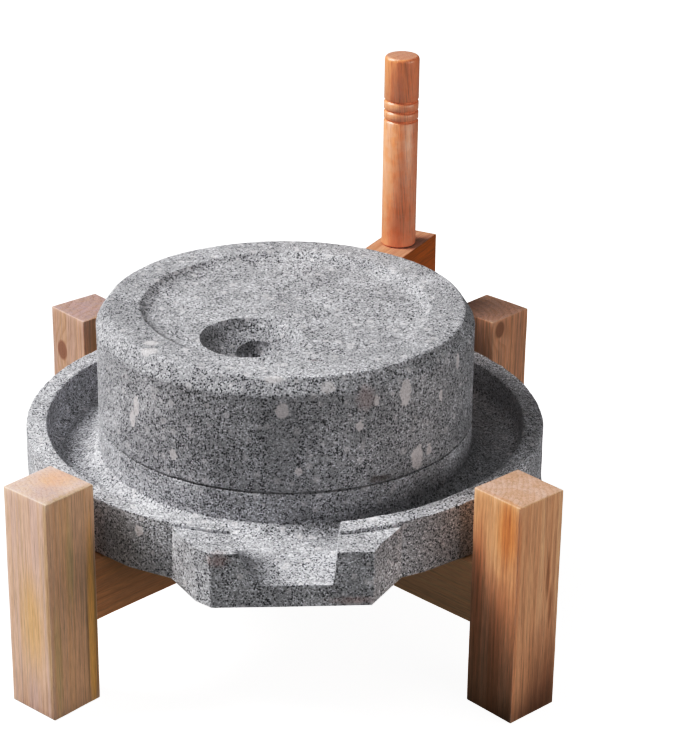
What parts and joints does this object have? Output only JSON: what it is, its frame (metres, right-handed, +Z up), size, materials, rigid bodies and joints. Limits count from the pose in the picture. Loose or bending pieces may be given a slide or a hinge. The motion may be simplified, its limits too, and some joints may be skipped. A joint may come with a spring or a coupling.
{
  "type": "rotary quern",
  "caption": "Hand mill with a dished runner stone turned by an upright side handle on a spouted stone tray, standing on a timber cross frame",
  "frame": {"origin": "on the floor, at the middle of the whole mill's bounding box; the mill's turning axis is vertical and stands 6.9 mm towards +Y from it", "axes": "+Z up along the turning axis; the spout points towards -Y, turned 2.5 degrees; the handle is at rest 61.9 degrees round from +X towards +Y"},
  "size_m": [0.3604, 0.392, 0.3542],
  "materials": {
    "tray_granite": "fine-pecked grey granite",
    "runner_granite": "fine-pecked grey granite, a little darker",
    "handle_timber": "planed hardwood, clear oil",
    "peg_timber": "turned hardwood, clear varnish",
    "leg_timber": "planed timber, bare",
    "board_timber": "planed timber, bare"
  },
  "bodies": {
    "base": {"tray_stone": "tray_granite", "leg_front_left": "leg_timber", "leg_front_right": "leg_timber", "leg_back_left": "leg_timber", "leg_back_right": "leg_timber", "cross_board_a": "board_timber", "cross_board_b": "board_timber"},
    "runner": {"runner_stone": "runner_granite", "handle_block": "handle_timber", "handle_peg": "peg_timber"}
  },
  "joints": [
    {"name": "runner_turn", "type": "hinge", "parent": "base", "child": "runner", "pos_m": [0, 0.00693, 0.1424], "axis": [0, 0, 1], "continuous": true}
  ]
}
